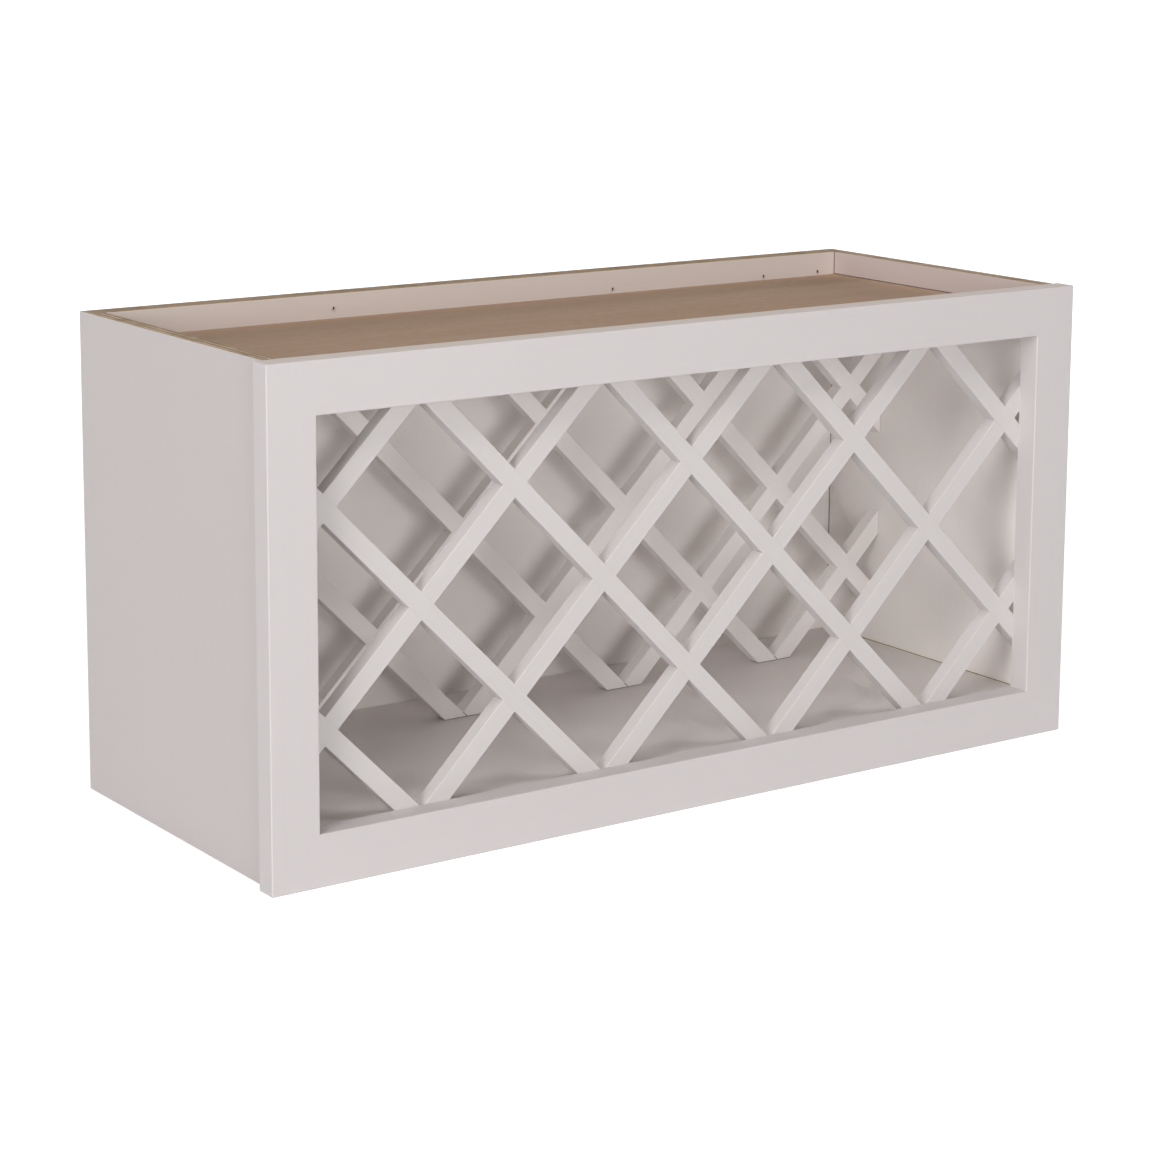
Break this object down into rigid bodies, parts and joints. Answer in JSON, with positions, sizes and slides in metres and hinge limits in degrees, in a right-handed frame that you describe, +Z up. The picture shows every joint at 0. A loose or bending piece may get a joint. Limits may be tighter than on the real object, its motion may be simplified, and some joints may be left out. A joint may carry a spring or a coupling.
{
  "type": "wall wine rack",
  "caption": "Wall-hung wine rack: a face-framed plywood cabinet with front and rear half-lapped diagonal lattices whose square cells hold bottles lying front to back.",
  "frame": {"origin": "centre of the cabinet's back face, on the wall, half way up", "axes": "+X to the right seen from the front, +Y into the wall, +Z up; the open front faces -Y"},
  "size_m": [0.762, 0.3048, 0.381],
  "materials": {
    "frame_paint": "satin white paint",
    "panel_paint": "satin white paint on plywood",
    "slat_paint": "satin white paint",
    "raw_plywood": "raw veneer",
    "brad_steel": "plain wire"
  },
  "bodies": {
    "root": {"left_stile": "frame_paint", "right_stile": "frame_paint", "bottom_rail": "frame_paint", "top_rail": "frame_paint", "left_side_panel": "panel_paint", "right_side_panel": "panel_paint", "bottom_panel": "panel_paint", "back_panel": "panel_paint", "top_panel": "raw_plywood", "front_falling_slat_1": "slat_paint", "front_falling_slat_2": "slat_paint", "front_falling_slat_3": "slat_paint", "front_falling_slat_4": "slat_paint", "front_falling_slat_5": "slat_paint", "front_falling_slat_6": "slat_paint", "front_rising_slat_1": "slat_paint", "front_rising_slat_2": "slat_paint", "front_rising_slat_3": "slat_paint", "front_rising_slat_4": "slat_paint", "front_rising_slat_5": "slat_paint", "front_rising_slat_6": "slat_paint", "rear_falling_slat_1": "slat_paint", "rear_falling_slat_2": "slat_paint", "rear_falling_slat_3": "slat_paint", "rear_falling_slat_4": "slat_paint", "rear_falling_slat_5": "slat_paint", "rear_falling_slat_6": "slat_paint", "rear_rising_slat_1": "slat_paint", "rear_rising_slat_2": "slat_paint", "rear_rising_slat_3": "slat_paint", "rear_rising_slat_4": "slat_paint", "rear_rising_slat_5": "slat_paint", "rear_rising_slat_6": "slat_paint"}
  },
  "joints": []
}
